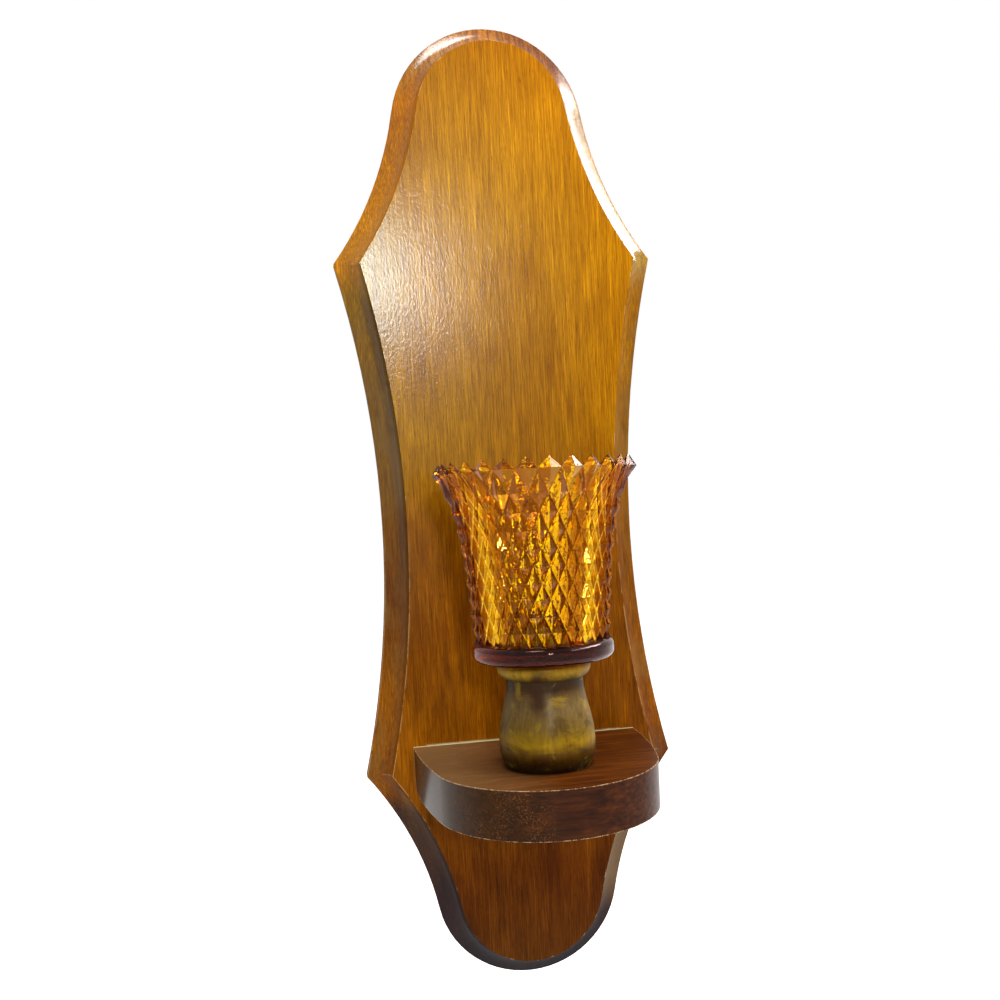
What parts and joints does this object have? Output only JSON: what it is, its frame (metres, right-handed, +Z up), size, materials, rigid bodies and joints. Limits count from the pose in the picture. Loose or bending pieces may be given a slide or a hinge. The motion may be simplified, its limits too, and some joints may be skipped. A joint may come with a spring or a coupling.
{
  "type": "candle wall sconce",
  "caption": "Wooden wall sconce with a shaped, cove-edged backboard, a D-shaped shelf, a turned candle post and a flared diamond-point glass votive cup that lifts out.",
  "frame": {"origin": "centre of the keyhole hanger's round hole, on the plane of the wall", "axes": "+Z up along the backboard, +X to the right as seen from the room, +Y into the wall"},
  "size_m": [0.14, 0.1086, 0.42],
  "materials": {
    "board_wood": "glossy honey stain, darker towards the lower end",
    "shelf_wood": "glossy dark red-brown stain, worn pale along the edge",
    "post_wood": "turned, olive-brown stain under gloss lacquer",
    "amber_glass": "clear amber, pressed in diamond points",
    "ring_rubber": "matt",
    "screw_steel": "yellow zinc",
    "hanger_brass": "brassed steel"
  },
  "bodies": {
    "sconce": {"backboard": "board_wood", "shelf": "shelf_wood", "candle_post": "post_wood", "shelf_screw_left": "screw_steel", "shelf_screw_right": "screw_steel", "post_screw": "screw_steel", "keyhole_hanger": "hanger_brass", "hanger_screw_upper": "screw_steel", "hanger_screw_lower": "screw_steel"},
    "ring": {"peg_ring": "ring_rubber"},
    "cup": {"votive_cup": "amber_glass"}
  },
  "joints": [
    {"name": "cup_turn", "type": "hinge", "parent": "sconce", "child": "ring", "pos_m": [0, -0.069, -0.206], "axis": [0, 0, 1], "continuous": true},
    {"name": "cup_lift", "type": "slide", "parent": "ring", "child": "cup", "axis": [0, 0, 1], "range_m": [0, 0.04]}
  ]
}
